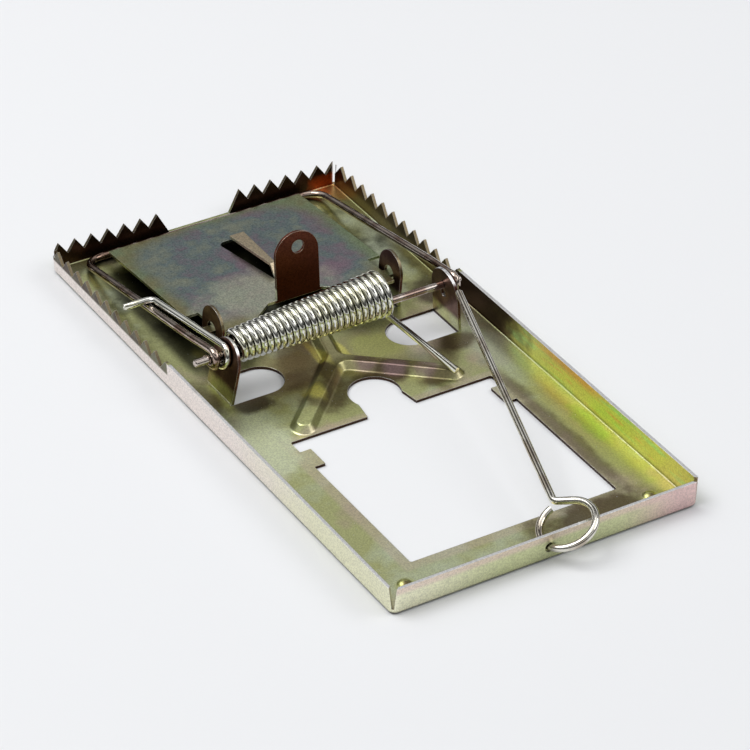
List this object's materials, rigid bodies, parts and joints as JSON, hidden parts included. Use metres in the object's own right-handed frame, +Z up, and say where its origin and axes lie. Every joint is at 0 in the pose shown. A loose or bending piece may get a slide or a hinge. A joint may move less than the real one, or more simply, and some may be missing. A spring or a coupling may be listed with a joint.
{
  "type": "snap mouse trap",
  "caption": "Stamped metal snap trap with a serrated tray, sprung wire jaw on a pivot rod, tilting trigger plate with catch tongue, and a hinged hold-down bar.",
  "frame": {"origin": "bottom centre of the whole trap's box, on the surface that it stands on", "axes": "+Y towards the serrated end under the jaw's crossbar, +X along the pivot rod to the side of the wide end of the coil, +Z up"},
  "size_m": [0.086, 0.1766, 0.0255],
  "materials": {
    "tray_sheet": "iridescent olive and yellow zinc plating on stamped sheet",
    "plate_sheet": "iridescent grey-green zinc plating on stamped sheet",
    "jaw_wire": "plated wire, brownish and glossy",
    "rod_wire": "plated wire, glossy",
    "spring_wire": "bright plated spring wire with faint yellow tints",
    "bar_wire": "bright plated wire"
  },
  "bodies": {
    "base": {"base_tray": "tray_sheet", "pivot_rod": "rod_wire", "torsion_spring": "spring_wire"},
    "jaw": {"striker_jaw": "jaw_wire"},
    "trigger": {"trigger_plate": "plate_sheet"},
    "hold_bar": {"hold_down_bar": "bar_wire"}
  },
  "joints": [
    {"name": "jaw_swing", "type": "hinge", "parent": "base", "child": "jaw", "pos_m": [0, 0.01589, 0.0115], "axis": [1, 0, 0], "range_deg": [0, 187], "stiffness_Nm_per_rad": 0.07, "springref_deg": -103.13, "deforming": ["torsion_spring"]},
    {"name": "trigger_tilt", "type": "hinge", "parent": "base", "child": "trigger", "pos_m": [0, 0.03239, 0.0076], "axis": [1, 0, 0], "range_deg": [0, 15]},
    {"name": "hold_bar_flop", "type": "hinge", "parent": "base", "child": "hold_bar", "pos_m": [0.00029, -0.08209, 0.00379], "axis": [0, -1, 0], "range_deg": [0, 128]}
  ]
}
